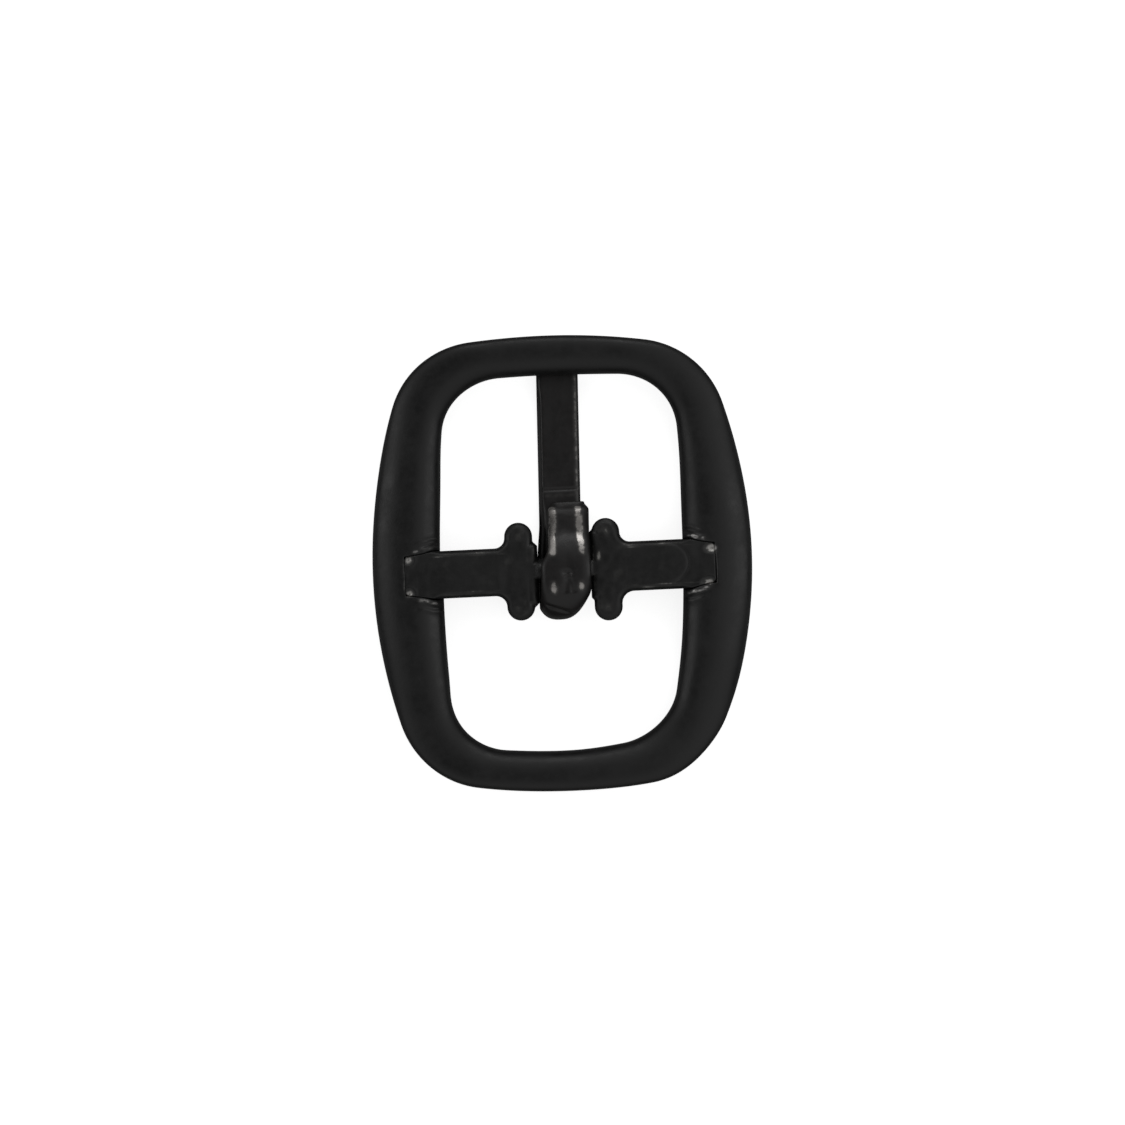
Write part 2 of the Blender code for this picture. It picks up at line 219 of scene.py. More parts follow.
def frame_piece():
    rows, sec = stations(), section()
    verts, wear_and_highlight = [], []
    for theta in rows:
        ri = radius(theta, INN) + uneven(theta, UNEVEN_IN)
        ro = radius(theta, OUT) + uneven(theta, UNEVEN_OUT)
        if cos(theta) < 0:
            y = ri * sin(theta)
            ri -= SWELL * smooth(-1.0, -3.5, y) * smooth(-18.5, -12.0, y)
        for share, height, side in sec:
            r = ri + (ro - ri) * share
            x, y = r * cos(theta), r * sin(theta)
            half = rail_t(y) / 2
            z = MID_Z + bow(y) + side * (EDGE_H + (half - EDGE_H) * height)
            w = 0.0
            if side > 0:
                z, w = notch(x, y, z)
            else:
                w = 0.25 * smooth(0.9, 1.0, height) * smooth(BOW_FROM + 4, BOW_FROM - 2, abs(y))
            # castings are never quite true: a slow, shallow wave in the surface
            swell = noise.noise(Vector((x, y, z)) * 0.16 + Vector((3, 5, 7)))
            ripple = noise.noise(Vector((x, y, z)) * 0.55 + Vector((11, 2, 4)))
            if side > 0:
                z += 0.030 * swell * height + 0.010 * ripple
            verts.append((x * MM, y * MM, z * MM))
            wear_and_highlight.append(w)
    n, m = len(rows), len(sec)
    faces = []
    for i in range(n):
        a, b = i * m, ((i + 1) % n) * m
        for j in range(m):
            k = (j + 1) % m
            faces.append((a + j, b + j, b + k, a + k))
    mesh = bpy.data.meshes.new("buckle_frame")
    mesh.from_pydata(verts, [], faces)
    mesh.validate()
    layer = mesh.attributes.new("wear_and_highlight", "FLOAT", "POINT")
    layer.data.foreach_set("value", np.array(wear_and_highlight, np.float32))
    mesh.shade_smooth()
    obj = bpy.data.objects.new("buckle_frame", mesh)
    bpy.context.scene.collection.objects.link(obj)
    return obj


# ------------------------------------------------------------------- bar --
def bar_edge(sign, inner_x, stop_x, tip):
    """One long edge of half of the bar, from the inner end outwards."""
    w, mid, end, tab = BAR_HALF_W[sign], tip - STOP_R, BAR_END[sign], TAB_HALF_W[sign]
    up = []
    for i in range(25):
        t = pi - pi * i / 24
        up.append((stop_x + STOP_R * cos(t), mid + STOP_R * sin(t)))
    f = min(STOP_FILLET, mid - w - 0.06)
    for i in range(11):
        t = pi + (pi / 2) * i / 10
        up.append((stop_x + STOP_R + f + f * cos(t), w + f + f * sin(t)))
    up.append((TAB_FROM, w))
    r = 0.55
    for i in range(7):
        t = pi / 2 - (pi / 2) * i / 6
        up.append((end - r + r * cos(t), tab - r + r * sin(t)))
    out = [up[0]]
    for p in up[1:]:
        if hypot(p[0] - out[-1][0], p[1] - out[-1][1]) > 0.02:
            out.append(p)
    return out


def slab(name, pts):
    """Plate of the bar's thickness; its rims are rounded later."""
    bm = bmesh.new()
    face = bm.faces.new([bm.verts.new((x, y, -BAR_T / 2)) for x, y in pts])
    out = bmesh.ops.extrude_face_region(bm, geom=[face])
    top = [v for v in out["geom"] if isinstance(v, bmesh.types.BMVert)]
    bmesh.ops.translate(bm, verts=top, vec=(0, 0, BAR_T))
    bmesh.ops.recalc_face_normals(bm, faces=bm.faces)
    mesh = bpy.data.meshes.new(name)
    bm.to_mesh(mesh)
    bm.free()
    obj = bpy.data.objects.new(name, mesh)
    bpy.context.scene.collection.objects.link(obj)
    return obj


def depth_inside(co, pts):
    """How far each point lies inside a closed outline, 0 outside it."""
    p = co[:, :2].astype(np.float64)
    best = np.full(len(p), 1e9)
    inside = np.zeros(len(p), bool)
    for (ax, ay), (bx, by) in zip(pts, pts[1:] + pts[:1]):
        ex, ey = bx - ax, by - ay
        t = np.clip(((p[:, 0] - ax) * ex + (p[:, 1] - ay) * ey) / (ex * ex + ey * ey), 0, 1)
        best = np.minimum(best, np.hypot(p[:, 0] - ax - t * ex, p[:, 1] - ay - t * ey))
        if ey:
            over = ((ay > p[:, 1]) != (by > p[:, 1])) & (p[:, 0] < ax + (p[:, 1] - ay) * ex / ey)
            inside ^= over
    return np.where(inside, best, 0.0)


def plate_outline(sign, inner_x):
    stop_x = STOP_RIGHT if sign > 0 else STOP_LEFT
    pts = []
    for side in (1, -1):
        edge = bar_edge(sign, inner_x, stop_x, STOP_TIPS[sign, side])
        pts += [(sign * x, side * y) for x, y in edge[::side]]
    return pts


def shoulder_outline(sign, inner_x):
    """Inner end of half of the bar, between its stops and the neck."""
    hi, lo = SHOULDERS[sign, 1], SHOULDERS[sign, -1]
    a, b, c = inner_x, inner_x + 0.35, inner_x + 1.6
    pts = [(a, -lo + 0.35), (b, -lo), (c, -lo), (c, hi), (b, hi), (a, hi - 0.35)]
    return [(sign * x, y) for x, y in pts]


def evaluated(obj):
    """The object's mesh with its modifiers applied."""
    bpy.context.view_layer.update()
    graph = bpy.context.evaluated_depsgraph_get()
    mesh = bpy.data.meshes.new_from_object(obj.evaluated_get(graph))
    return mesh


def bar_piece():
    # built in millimetres, because a voxel of 0.09 mm is too small for metres
    shapes = (plate_outline(1, NECK_RIGHT), plate_outline(-1, -NECK_LEFT),
              shoulder_outline(1, NECK_RIGHT), shoulder_outline(-1, -NECK_LEFT))
    right, left, inner_right, inner_left = (slab("slab_%d" % i, pts) for i, pts in enumerate(shapes))
    bm = bmesh.new()
    bmesh.ops.create_cone(bm, cap_ends=True, segments=64, radius1=NECK_R, radius2=NECK_R,
                          depth=NECK_RIGHT - NECK_LEFT + 0.3)
    bmesh.ops.rotate(bm, verts=bm.verts, matrix=Matrix.Rotation(pi / 2, 3, "Y"))
    bmesh.ops.translate(bm, verts=bm.verts, vec=((NECK_LEFT + NECK_RIGHT) / 2, 0, 0))
    neck_mesh = bpy.data.meshes.new("neck")
    bm.to_mesh(neck_mesh)
    bm.free()
    neck = bpy.data.objects.new("neck", neck_mesh)
    bpy.context.scene.collection.objects.link(neck)
    for other in (neck, left, inner_right, inner_left):
        mod = right.modifiers.new("join", "BOOLEAN")
        mod.operation, mod.solver, mod.object = "UNION", "EXACT", other
    rem = right.modifiers.new("remesh", "REMESH")
    rem.mode, rem.voxel_size, rem.use_smooth_shade = "VOXEL", 0.085, True
    sm = right.modifiers.new("soften", "SMOOTH")
    sm.factor, sm.iterations = 0.5, 2
    mesh = evaluated(right)
    for o in (right, left, inner_right, inner_left, neck):
        bpy.data.objects.remove(o)
    n = len(mesh.vertices)
    co = np.empty(n * 3, np.float32)
    mesh.vertices.foreach_get("co", co)
    co = co.reshape(-1, 3)
    # rims rounded to a quarter circle, wide at the stops and narrow along the tabs
    deep = np.max([depth_inside(co, pts) for pts in shapes], axis=0)
    along = np.clip((np.abs(co[:, 0]) - 12.6) / 1.6, 0, 1)
    big = 0.72 - 0.56 * along * along * (3 - 2 * along)
    d = np.minimum(deep, big)
    high = BAR_T / 2 - big + np.sqrt(np.maximum(0.0, big ** 2 - (big - d) ** 2))
    root = np.minimum(BAR_T / 2, np.sqrt(np.maximum(0.0, NECK_R ** 2 - co[:, 1] ** 2)))
    high = np.maximum(high, root * (np.abs(co[:, 0]) < 4.0))
    neck_part = (co[:, 0] > NECK_LEFT + 0.05) & (co[:, 0] < NECK_RIGHT - 0.05)
    co[:, 2] *= np.where(neck_part, 1.0, high / (BAR_T / 2))
    wear_and_highlight = np.zeros(n, np.float32)
    out = np.empty_like(co)
    for i in range(n):
        x, y, z = (float(c) for c in co[i])
        u, v = abs(x), abs(y)
        sign = 1 if x > 0 else -1
        top = smooth(0.45, 0.95, z / (BAR_T / 2))
        if top > 0:
            # punch marks that spread the tab's corners into the notch
            pu, pv = PUNCH[sign, 1 if y > 0 else -1]
            long = 0.62 if x > 0 else 0.42
            off = hypot((u - pu + (long - 0.42)) / long, (v - pv) / 0.40)
            dz = -0.20 * bell(off, 1.0) + 0.05 * bell(off - 1.7, 0.45)
            # the struck tab is a little lower and uneven
            hit = smooth(12.6, 14.4, u)
            dz += hit * (0.05 * noise.noise(Vector((x * 0.9, y * 0.9, 0))) - 0.02)
            if x > 0:                           # a curved scar where the right tab was struck
                dz -= 0.07 * bell(hypot(x - 11.6, y - 0.2) - 2.0, 0.16) * smooth(11.4, 12.6, x)
            dz += 0.035 * noise.noise(Vector((x * 0.22, y * 0.7, 2.0)))
            # stops are struck slightly round
            dz -= 0.22 * smooth(3.0, 5.4, v)
            if u < 7:
                dz += 0.045 * noise.noise(Vector((x * 1.1, y * 1.1, 5.0)))
            z += dz * top
            # uncoated metal at the punch marks, also painted as the bright highlight spots there
            w = (1.00 if x > 0 else 0.88) * bell(off, 1.35)
            # painted highlights: narrow light lines along the bevels, in from both long edges of the plate
            glint_strength = 0.40 + 0.5 * noise.noise(Vector((x * 0.6, y * 0.3, 4.0)))
            w = max(w, glint_strength * bell(v - (BAR_HALF_W[sign] - 0.62), 0.12) * smooth(5.2, 6.4, u) * smooth(15.4, 14.0, u))
            # painted highlight on the rounded stops
            stop = (STOP_RIGHT if x > 0 else STOP_LEFT, STOP_TIPS[sign, 1 if y > 0 else -1] - 1.4)
            glint_strength = 0.42 + 0.30 * noise.noise(Vector((x * 1.3, y * 1.3, 6.0)))
            w = max(w, glint_strength * bell(hypot(u - stop[0], v - stop[1]), 0.70))
            # painted highlight spot on the plate, right of the tongue's curl
            w = max(w, 1.0 * bell(hypot((x - 4.02) / 0.28, (y - 1.30) / 0.62), 1.0))
            wear_and_highlight[i] = w * top
        # rims of the plate, where the finish thins
        edge = bell(z - (BAR_T / 2 - 0.10), 0.10) * (0.42 + 0.5 * noise.noise(Vector((x * 0.5, y * 0.5, 9.0))))
        keep = smooth(13.6, 12.4, u) * (1 - smooth(4.1, 3.5, u) * smooth(2.2, 2.8, v)) * (1 - smooth(4.4, 5.2, u) * smooth(2.9, 3.6, v) * (1 if x < 0 else 0.4))
        wear_and_highlight[i] = max(wear_and_highlight[i], edge * keep)
        # painted highlight: a light line along the tab's end face
        if u > BAR_END[sign] - 0.35:
            wear_and_highlight[i] = max(wear_and_highlight[i], 0.45 * smooth(0.1, 0.8, z) * smooth(BAR_END[sign] - 0.25, BAR_END[sign] - 0.05, u))
        px, py = from_bar(x, y)
        out[i] = (px * MM, py * MM, (z + BAR_Z) * MM)
    mesh.vertices.foreach_set("co", out.ravel())
    layer = mesh.attributes.new("wear_and_highlight", "FLOAT", "POINT")
    layer.data.foreach_set("value", wear_and_highlight)
    mesh.shade_smooth()
    mesh.name = "buckle_bar"
    obj = bpy.data.objects.new("buckle_bar", mesh)
    bpy.context.scene.collection.objects.link(obj)
    return obj


# ---------------------------------------------------------------- tongue --
def strip_path():
    """Centre line (y, z), width, thickness, sideways shift, and which part of the strip."""
    path, n = [], 250
    for i in range(n + 1):                      # prong, from its rounded tip
        t = (i / n) ** 1.5
        y = TIP_Y * (1 - t)
        z = TIP_Z + (-EYE_B - TIP_Z) * t
        root = smooth(-5.0, -1.0, -y)
        w = STRIP_W * (0.62 + 0.38 * sqrt(max(0.0, 1 - (1 - min(1, t / 0.085)) ** 2)))
        w += (CURL_W - STRIP_W) * root
        th = 1.15 + (STRIP_T - 1.15) * smooth(0.0, 0.75, t) - 0.35 * (1 - smooth(0.0, 0.1, t))
        path.append((y, z, w, th, SKEW_ROOT * root, 0))
    n = 130
    for i in range(1, n + 1):                   # bend round the neck
        t = i / n
        ang = -pi / 2 - pi * t
        bend, top = smooth(0.42, 0.80, t), smooth(0.80, 1.0, t)
        w = CURL_W + (BEND_W - CURL_W) * bend + (TOP_W - BEND_W) * top
        shift = SKEW_ROOT + (SKEW_BEND - SKEW_ROOT) * bend + (SKEW_TOP - SKEW_BEND) * top
        path.append((EYE_A * cos(ang), EYE_B * sin(ang), w, STRIP_T, shift, 1))
    n = 100
    p0, p1 = Vector((0, EYE_B)), Vector((3.4, EYE_B))
    p3 = Vector((END_Y, END_Z))
    p2 = p3 + Vector((-2.5, 0.85))
    for i in range(1, n + 1):                   # back over the neck to the prong
        t = i / n
        p = p0 * (1 - t) ** 3 + p1 * 3 * t * (1 - t) ** 2 + p2 * 3 * t * t * (1 - t) + p3 * t ** 3
        free = smooth(0.3, 2.5, p.x)
        w = TOP_W + (FREE_W - TOP_W) * free - 0.95 * smooth(END_Y - 0.95, END_Y, p.x) ** 1.5
        th = STRIP_T - 0.35 * smooth(0.3, 1.0, t) - 0.3 * smooth(0.86, 1.0, t)
        path.append((p.x, p.y, w, th, SKEW_TOP + (SKEW_END - SKEW_TOP) * free, 2))
    return path


def strip_section(w, th):
    """Across the strip: (x, normal offset). The outer side's edges are broken wider than the inner's."""
    r = min(0.55, th * 0.42, w * 0.3)
    r_out = min(0.95, w * 0.3)                  # plan length of the outer shoulders
    drop = min(0.42, th * 0.32)
    pts = []
    steps = 9
    half = w / 2
    # outer face, from +x to -x, with crowned shoulders
    for i in range(steps + 1):
        a = (pi / 2) * i / steps
        pts.append((half - r_out + r_out * cos(a), th / 2 - drop + drop * sin(a)))
    span = 2 * (half - r_out)
    for k in range(1, 14):
        pts.append((half - r_out - span * k / 14, th / 2))
    for i in range(steps + 1):
        a = pi / 2 + (pi / 2) * i / steps
        pts.append((-half + r_out + r_out * cos(a), th / 2 - drop + drop * sin(a)))
    # inner face, from -x to +x
    for i in range(steps + 1):
        a = pi + (pi / 2) * i / steps
        pts.append((-half + r + r * cos(a), -th / 2 + r + r * sin(a)))
    span = 2 * (half - r)
    for k in range(1, 14):
        pts.append((-half + r + span * k / 14, -th / 2))
    for i in range(steps + 1):
        a = 1.5 * pi + (pi / 2) * i / steps
        pts.append((half - r + r * cos(a), -th / 2 + r + r * sin(a)))
    return [(x, -off) for x, off in pts]


def tongue_piece():
    path = strip_path()
    rings, wear_and_highlight_all = [], []
    # round over both ends with a few shrinking rings
    def cap(entry, nxt, grow):
        y, z, w, th, shift, part = entry
        d = Vector((y - nxt[0], z - nxt[1])).normalized()
        out = []
        for k in range(1, 7):
            a = (pi / 2) * k / 6
            out.append((y + d.x * grow * sin(a), z + d.y * grow * sin(a),
                        w * (1 - 0.16 * (1 - cos(a))), th * max(0.06, cos(a)), shift, part))
        return out
    full = cap(path[0], path[1], 0.22)[::-1] + path + cap(path[-1], path[-2], 0.16)
    m = len(full)
    for i, (y, z, w, th, shift, part) in enumerate(full):
        a, b = full[max(0, i - 1)], full[min(m - 1, i + 1)]
        d = Vector((b[0] - a[0], b[1] - a[1]))
        if d.length < 1e-9:
            d = Vector((0, -1))
        d.normalize()
        nrm = Vector((d.y, -d.x))
        ring, wear_and_highlight = [], []
        for x, off in strip_section(w, th):
            outer = off < 0
            py, pz = y + nrm.x * off, z + nrm.y * off
            if py < 0:
                py *= 1 - ROUND_END * abs((x + 0.3) / (w / 2)) ** 2.6 * smooth(0, 2.0, -py)
            X = x + shift
            across = abs(x) / (w / 2)
            W = 0.0
            if part == 0:
                # the prong is dressed down along its left edge, more so near the root
                if not outer:
                    pz -= 0.50 * smooth(-0.78, -0.98, x / (w / 2)) * smooth(20.0, 17.0, y)
                    pz -= 0.70 * smooth(-0.62, -0.96, x / (w / 2)) * smooth(8.5, 3.5, y)
                    # painted highlight along the prong's right edge
                    W = 0.56 * bell(x / (w / 2) - 0.84, 0.15) * smooth(4.0, 9.0, y)
                    # a pressed line and a lighter band just beyond the free end of the curl
                    pz -= 0.13 * bell(y - 8.60, 0.18) * smooth(1.0, 0.8, across)
                    W = max(W, 0.42 * bell(y - 7.95, 0.28) * smooth(0.85, 0.65, across))
                    pz += 0.03 * noise.noise(Vector((X * 0.9, y * 0.35, 3.0)))
            if part >= 1 and outer and (pz > 0.3 or part == 2):
                # marks left by the pressing tool: a dimple, an open V, and a crease across the bend
                pz -= 0.30 * bell(hypot((X - 0.62) / 0.42, (py + 0.42) / 0.40), 1.0)
                for sx in (-1, 1):
                    lx = 0.70 + sx * (0.14 + 0.20 * (-1.0 - py))
                    pz -= 0.20 * bell((X - lx) / 0.20, 1.0) * smooth(-2.7, -2.3, py) * smooth(-0.7, -1.1, py)
                crease = py + BAR_Y - (-5.08 - 0.36 * X)
                pz -= 0.17 * bell(crease, 0.17) * smooth(-2.1, -1.3, X) * smooth(2.2, 1.4, X)
                pz += 0.03 * noise.noise(Vector((X * 1.1, py * 0.9, 8.0)))
                # painted highlights: two light stripes along the curl's shoulders and two bright spots beyond the
                # bend, drawn as lighter metal
                line_l = -0.88 + 0.03 * (py - 4.0) + 0.08 * noise.noise(Vector((0, py * 0.5, 1.0)))
                line_r = 2.10 - 0.06 * (py - 4.0) + 0.10 * noise.noise(Vector((0, py * 0.5, 4.0))) + 0.12 * bell(py - 1.6, 0.7)
                on = smooth(6.95, 6.55, py) * smooth(1.1, 1.8, py)
                W = 1.05 * max(bell(X - line_l, 0.52), bell(X - line_r, 0.50)) * on
                spot = max(bell(hypot((X + 0.90) / 0.46, (py + 1.95) / 0.80), 1.0),
                           0.84 * bell(hypot((X - 2.05) / 0.46, (py + 1.85) / 0.78), 1.0))
                W = max(W, 0.98 * spot)
                # a lighter line along the curl's free end
                if part == 2:
                    W = max(W, 0.30 * bell(py - (END_Y - 0.30), 0.22) * smooth(1.0, 0.8, across))
            ring.append((X, py, pz))
            wear_and_highlight.append(W)
        rings.append(ring)
        wear_and_highlight_all += wear_and_highlight
    n, k = len(rings), len(rings[0])
    verts = []
    for ring in rings:
        for x, y, z in ring:                    # square to the bar at the curl, to the frame beyond it
            u = x + TILT_S * (y - 3.0) * smooth(2.0, 6.0, y)
            px, py = from_bar(u, y)
            verts.append((px * MM, py * MM, (z + BAR_Z) * MM))
    faces = []
    for i in range(n - 1):
        for j in range(k):
            q = (j + 1) % k
            faces.append((i * k + j, i * k + q, (i + 1) * k + q, (i + 1) * k + j))
    faces.append(tuple(range(k))[::-1])
    faces.append(tuple((n - 1) * k + j for j in range(k)))
    mesh = bpy.data.meshes.new("buckle_tongue")
    mesh.from_pydata(verts, [], faces)
    layer = mesh.attributes.new("wear_and_highlight", "FLOAT", "POINT")
    layer.data.foreach_set("value", np.array(wear_and_highlight_all, np.float32))
    bm = bmesh.new()
    bm.from_mesh(mesh)
    bmesh.ops.recalc_face_normals(bm, faces=bm.faces)
    bm.to_mesh(mesh)
    bm.free()
    mesh.shade_smooth()
    obj = bpy.data.objects.new("buckle_tongue", mesh)
    bpy.context.scene.collection.objects.link(obj)
    return obj


# ------------------------------------------------------------- materials --
def node(tree, kind, **values):
    n = tree.nodes.new(kind)
    for key, value in values.items():
        if hasattr(n, key):
            setattr(n, key, value)
        else:
            n.inputs[key.replace("_", " ")].default_value = value
    return n


SHEEN = 0.5


def black_metal(name, base, tint, metal, roughness, grain=1.0, brushed=None):
    """Black finish over zinc or steel: cloudy tone, fine pits, hairline scratches, and a lighter metallic finish
    where the mask is high, partly rubbed-through metal and partly painted highlight.
    """
    mat = bpy.data.materials.new(name)
    mat.use_nodes = True
    tree = mat.node_tree
    link = tree.links.new
    shader = tree.nodes["Principled BSDF"]
    coord = tree.nodes.new("ShaderNodeTexCoord").outputs["Object"]

    def noise_tex(scale, detail=4.0, rough=0.55, vector=coord, distortion=0.0):
        n = tree.nodes.new("ShaderNodeTexNoise")
        n.inputs["Scale"].default_value = scale
        n.inputs["Detail"].default_value = detail
        n.inputs["Roughness"].default_value = rough
        n.inputs["Distortion"].default_value = distortion
        link(vector, n.inputs["Vector"])
        return n.outputs["Fac"]

    def remap(value, lo, hi, out_lo, out_hi, kind="SMOOTHSTEP"):
        n = tree.nodes.new("ShaderNodeMapRange")
        n.interpolation_type = kind
        n.inputs["From Min"].default_value = lo
        n.inputs["From Max"].default_value = hi
        n.inputs["To Min"].default_value = out_lo
        n.inputs["To Max"].default_value = out_hi
        link(value, n.inputs["Value"])
        return n.outputs["Result"]

    def math(op, a, b=None, clamp=False):
        n = tree.nodes.new("ShaderNodeMath")
        n.operation = op
        n.use_clamp = clamp
        for i, v in enumerate((a, b)):
            if v is None:
                continue
            if isinstance(v, (int, float)):
                n.inputs[i].default_value = v
            else:
                link(v, n.inputs[i])
        return n.outputs[0]

    def mix(fac, a, b):
        n = tree.nodes.new("ShaderNodeMix")
        n.data_type = "RGBA"
        link(fac, n.inputs["Factor"])
        for key, v in (("A", a), ("B", b)):
            sock = [s for s in n.inputs if s.name == key and s.type == "RGBA"][0]
            if isinstance(v, tuple):
                sock.default_value = (*v, 1.0)
            else:
                link(v, sock)
        return [s for s in n.outputs if s.type == "RGBA"][0]

    def stretched(scale, turn):
        n = tree.nodes.new("ShaderNodeMapping")
        n.inputs["Scale"].default_value = scale
        n.inputs["Rotation"].default_value = turn
        link(coord, n.inputs["Vector"])
        return n.outputs["Vector"]

    clouds = noise_tex(260.0, 5.0, 0.6)             # about 4 mm across
    mottle = noise_tex(1400.0, 4.0, 0.6)            # under 1 mm
    pits = noise_tex(6500.0, 3.0, 0.5)              # casting grain, about 0.15 mm
    peel = noise_tex(2300.0, 2.0, 0.5)
    nicks = noise_tex(900.0, 3.0, 0.6, distortion=1.2)
    hair = math("MULTIPLY", remap(nicks, 0.70, 0.76, 0.0, 1.0), remap(clouds, 0.45, 0.62, 0.0, 1.0))

    # the mask holds real rubbed spots and painted highlights together; where it is high, the colour is painted
    # lighter and turns metallic
    wear_and_highlight_in = tree.nodes.new("ShaderNodeAttribute")
    wear_and_highlight_in.attribute_name = "wear_and_highlight"
    broken = remap(mottle, 0.30, 0.62, 0.55, 1.0)
    wear_and_highlight = math("MULTIPLY", wear_and_highlight_in.outputs["Fac"], broken)
    bare_and_highlight = remap(wear_and_highlight, 0.42, 0.80, 0.0, 1.0)
    thin_and_highlight = remap(wear_and_highlight, 0.12, 0.55, 0.0, 1.0)

    low = tuple(c * 0.72 for c in base)
    tone = mix(remap(clouds, 0.32, 0.68, 0.0, 1.0), low, base)
    tone = mix(remap(mottle, 0.45, 0.75, 0.0, 0.55), tone, tint)
    # a lighter tone where the mask is middling: partly a worn finish, partly painted highlight
    tone = mix(math("MULTIPLY", thin_and_highlight, 0.45), tone, tuple(0.16 * c for c in metal))
    tone = mix(math("MULTIPLY", hair, 0.05), tone, tuple(0.5 * c for c in metal))
    colour = mix(bare_and_highlight, tone, metal)
    link(colour, shader.inputs["Base Color"])

    rough = remap(clouds, 0.30, 0.70, roughness - 0.05, roughness + 0.06)
    rough = math("ADD", rough, remap(mottle, 0.3, 0.7, -0.035, 0.035))
    rough = math("SUBTRACT", rough, math("MULTIPLY", bare_and_highlight, 0.10))
    rough = math("ADD", rough, math("MULTIPLY", hair, 0.07))
    link(rough, shader.inputs["Roughness"])
    link(math("MULTIPLY", bare_and_highlight, 1.0), shader.inputs["Metallic"])
    shader.inputs["IOR"].default_value = 1.48
    shader.inputs["Specular IOR Level"].default_value = SHEEN

    height = math("ADD", math("MULTIPLY", pits, 0.45 * grain), math("MULTIPLY", peel, 0.55))
    height = math("SUBTRACT", height, math("MULTIPLY", hair, 0.35))
    if brushed is not None:
        lines = noise_tex(1.0, 3.0, 0.6, stretched(brushed, (0, 0, 0)))
        height = math("ADD", height, math("MULTIPLY", lines, 0.5))
    bump = tree.nodes.new("ShaderNodeBump")
    bump.inputs["Strength"].default_value = 0.35
    bump.inputs["Distance"].default_value = 0.00003
    link(height, bump.inputs["Height"])
    link(bump.outputs["Normal"], shader.inputs["Normal"])
    return mat


def stage_material():
    """White sweep: bright to the camera, dim to the metal, as behind a buckle shot on a light table."""
    mat = bpy.data.materials.new("stage_white")
    mat.use_nodes = True
    tree = mat.node_tree
    white = tree.nodes["Principled BSDF"]
    n = tree.nodes.new("ShaderNodeTexNoise")
    n.inputs["Scale"].default_value = 30.0
    ramp = tree.nodes.new("ShaderNodeMapRange")
    ramp.inputs["To Min"].default_value = 0.84
    ramp.inputs["To Max"].default_value = 0.88
    tree.links.new(n.outputs["Fac"], ramp.inputs["Value"])
    comb = tree.nodes.new("ShaderNodeCombineColor")
    for k in ("Red", "Green", "Blue"):
        tree.links.new(ramp.outputs["Result"], comb.inputs[k])
    tree.links.new(comb.outputs["Color"], white.inputs["Base Color"])
    white.inputs["Roughness"].default_value = 0.9
    white.inputs["Specular IOR Level"].default_value = 0.0
    white.inputs["Emission Color"].default_value = (1, 1, 1, 1)
    white.inputs["Emission Strength"].default_value = FLOOR_GLOW
    dim = tree.nodes.new("ShaderNodeBsdfDiffuse")
    dim.inputs["Color"].default_value = (FLOOR_DIM, FLOOR_DIM, FLOOR_DIM, 1)
    path = tree.nodes.new("ShaderNodeLightPath")
    mixer = tree.nodes.new("ShaderNodeMixShader")
    tree.links.new(path.outputs["Is Camera Ray"], mixer.inputs[0])
    tree.links.new(dim.outputs[0], mixer.inputs[1])
    tree.links.new(white.outputs[0], mixer.inputs[2])
    out = [x for x in tree.nodes if x.type == "OUTPUT_MATERIAL"][0]
    tree.links.new(mixer.outputs[0], out.inputs["Surface"])
    return mat


FLOOR_GLOW, FLOOR_DIM = 0.80, 0.40

# ---------------------------------------------------------------- pieces --
ring = frame_piece()
bar = bar_piece()
tongue = tongue_piece()

enamel = black_metal("black_frame", (0.0085, 0.0085, 0.0087), (0.0110, 0.0110, 0.0113), (0.42, 0.41, 0.40), 0.38)
bar_finish = black_metal("black_bar", (0.0085, 0.0085, 0.0085), (0.0115, 0.0115, 0.0112), (0.42, 0.41, 0.39), 0.40,
                         brushed=(250.0, 3200.0, 700.0))
tongue_finish = black_metal("black_tongue", (0.0125, 0.0112, 0.0112), (0.0160, 0.0140, 0.0138), (0.46, 0.44, 0.42), 0.34,
                            grain=0.6, brushed=(3200.0, 240.0, 700.0))
for obj, mat, body, cad, slot in ((ring, enamel, "body", "frame", "frame"),
                                  (bar, bar_finish, "body", "centre_bar", "bar"),
                                  (tongue, tongue_finish, "tongue", "tongue", "tongue")):
    obj.data.materials.clear()
    obj.data.materials.append(mat)
    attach(obj, body)
    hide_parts(cad)

# ----------------------------------------------------------------- stage --
bm = bmesh.new()
bmesh.ops.create_circle(bm, cap_ends=True, segments=96, radius=1.6)
floor_mesh = bpy.data.meshes.new("studio_floor")
bm.to_mesh(floor_mesh)
bm.free()
floor = bpy.data.objects.new("studio_floor", floor_mesh)
bpy.context.scene.collection.objects.link(floor)
floor.location = (0, 0, -0.00002)
floor_mesh.materials.append(stage_material())

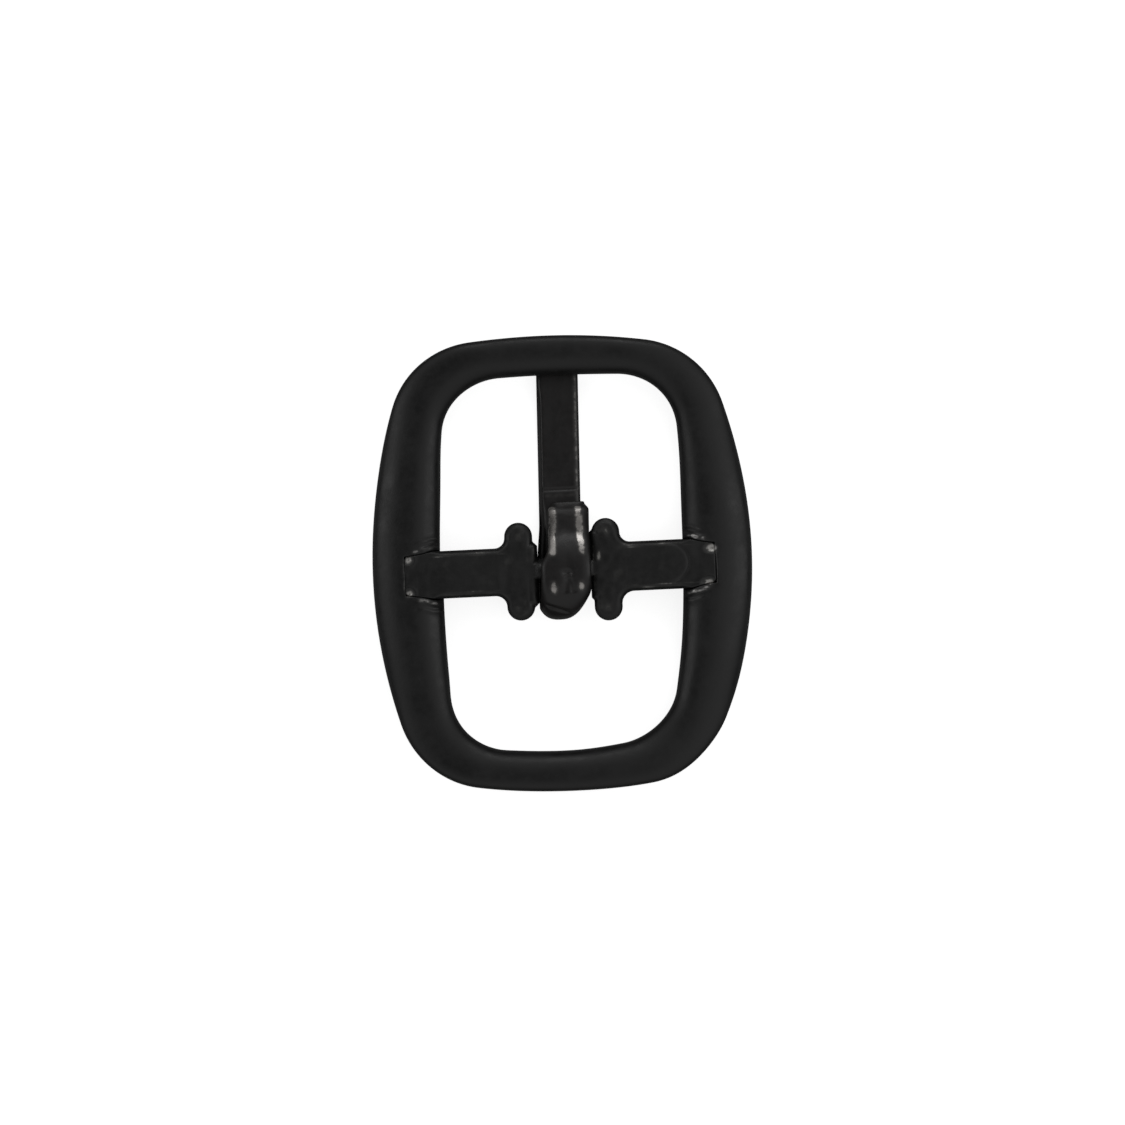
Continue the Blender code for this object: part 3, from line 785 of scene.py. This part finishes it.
def studio_world():
    """White to the camera; to the metal a broad soft light all round, dark overhead and at the horizon."""
    world = bpy.data.worlds.new("studio")
    bpy.context.scene.world = world
    world.use_nodes = True
    tree = world.node_tree
    coord = tree.nodes.new("ShaderNodeTexCoord")

    def along(axis):
        n = tree.nodes.new("ShaderNodeVectorMath")
        n.operation = "DOT_PRODUCT"
        tree.links.new(coord.outputs["Generated"], n.inputs[0])
        n.inputs[1].default_value = axis
        return n.outputs["Value"]

    def ramp(value, lo, hi, a, b):
        n = tree.nodes.new("ShaderNodeMapRange")
        n.interpolation_type = "SMOOTHSTEP"
        for key, v in (("From Min", lo), ("From Max", hi), ("To Min", a), ("To Max", b)):
            n.inputs[key].default_value = v
        tree.links.new(value, n.inputs["Value"])
        return n.outputs["Result"]

    def times(a, b):
        n = tree.nodes.new("ShaderNodeMath")
        n.operation = "MULTIPLY"
        tree.links.new(a, n.inputs[0])
        tree.links.new(b, n.inputs[1])
        return n.outputs[0]

    over = ramp(along((-sin(radians(16)), 0.0, cos(radians(16)))), cos(radians(34)), cos(radians(6)), 1.0, ZENITH)
    rise = ramp(along((0.0, 0.0, 1.0)), 0.08, 0.58, HORIZON, 1.0)
    light = tree.nodes.new("ShaderNodeBackground")
    strength = times(over, rise)
    scale = tree.nodes.new("ShaderNodeMath")
    scale.operation = "MULTIPLY"
    tree.links.new(strength, scale.inputs[0])
    scale.inputs[1].default_value = SKY
    tree.links.new(scale.outputs[0], light.inputs["Strength"])
    light.inputs["Color"].default_value = (1, 1, 1, 1)
    white = tree.nodes.new("ShaderNodeBackground")
    white.inputs["Color"].default_value = (1, 1, 1, 1)
    white.inputs["Strength"].default_value = 1.0
    path = tree.nodes.new("ShaderNodeLightPath")
    mixer = tree.nodes.new("ShaderNodeMixShader")
    tree.links.new(path.outputs["Is Camera Ray"], mixer.inputs[0])
    tree.links.new(light.outputs[0], mixer.inputs[1])
    tree.links.new(white.outputs[0], mixer.inputs[2])
    out = [x for x in tree.nodes if x.type == "OUTPUT_WORLD"][0]
    tree.links.new(mixer.outputs[0], out.inputs["Surface"])


SKY, ZENITH, HORIZON = 0.46, 0.22, 0.10
studio_world()


def softbox(name, place, aim, size, power, shape="RECTANGLE"):
    light = bpy.data.lights.new(name, "AREA")
    light.shape, light.size, light.size_y, light.energy = shape, size[0], size[1], power
    obj = bpy.data.objects.new(name, light)
    bpy.context.scene.collection.objects.link(obj)
    obj.location = place
    obj.rotation_euler = (Vector(aim) - Vector(place)).to_track_quat("-Z", "Y").to_euler()
    return obj


softbox("softbox_left", (-0.42, 0.06, 0.26), (0, 0, 0), (0.10, 0.40), 0.15)
softbox("softbox_right", (0.42, 0.02, 0.28), (0, 0, 0), (0.10, 0.40), 0.15)
softbox("softbox_far", (0.05, 0.50, 0.34), (0, 0, 0), (0.40, 0.12), 0.25)

# ---------------------------------------------------------------- camera --
CAMERA_D, LENS = 0.56, 0.0
cam = bpy.data.cameras.new("photo_camera")
cam.sensor_width = 36.0
view_width = 1125 * 26.0 / 242.0 * MM            # width of the photograph at the buckle
cam.lens = 36.0 * CAMERA_D / view_width
cam.clip_start, cam.clip_end = 0.01, 5.0
camera = bpy.data.objects.new("photo_camera", cam)
bpy.context.scene.collection.objects.link(camera)
bpy.context.scene.camera = camera
roll = radians(-1.25)                             # the buckle lies turned 1.25 degrees to the left
px = 26.0 / 242.0 * MM
dx, dy = (562.5 - 561.6) * px, (563.0 - 562.5) * px
turn = Matrix.Rotation(roll, 3, "Z")
shift = turn @ Vector((dx, dy, 0))
camera.location = (shift.x, shift.y, CAMERA_D + 0.0035)
camera.rotation_euler = (0, 0, roll)

scene = bpy.context.scene
scene.view_settings.view_transform = "Standard"
scene.view_settings.look = "None"
scene.view_settings.exposure = 0.0
scene.view_settings.gamma = 1.0
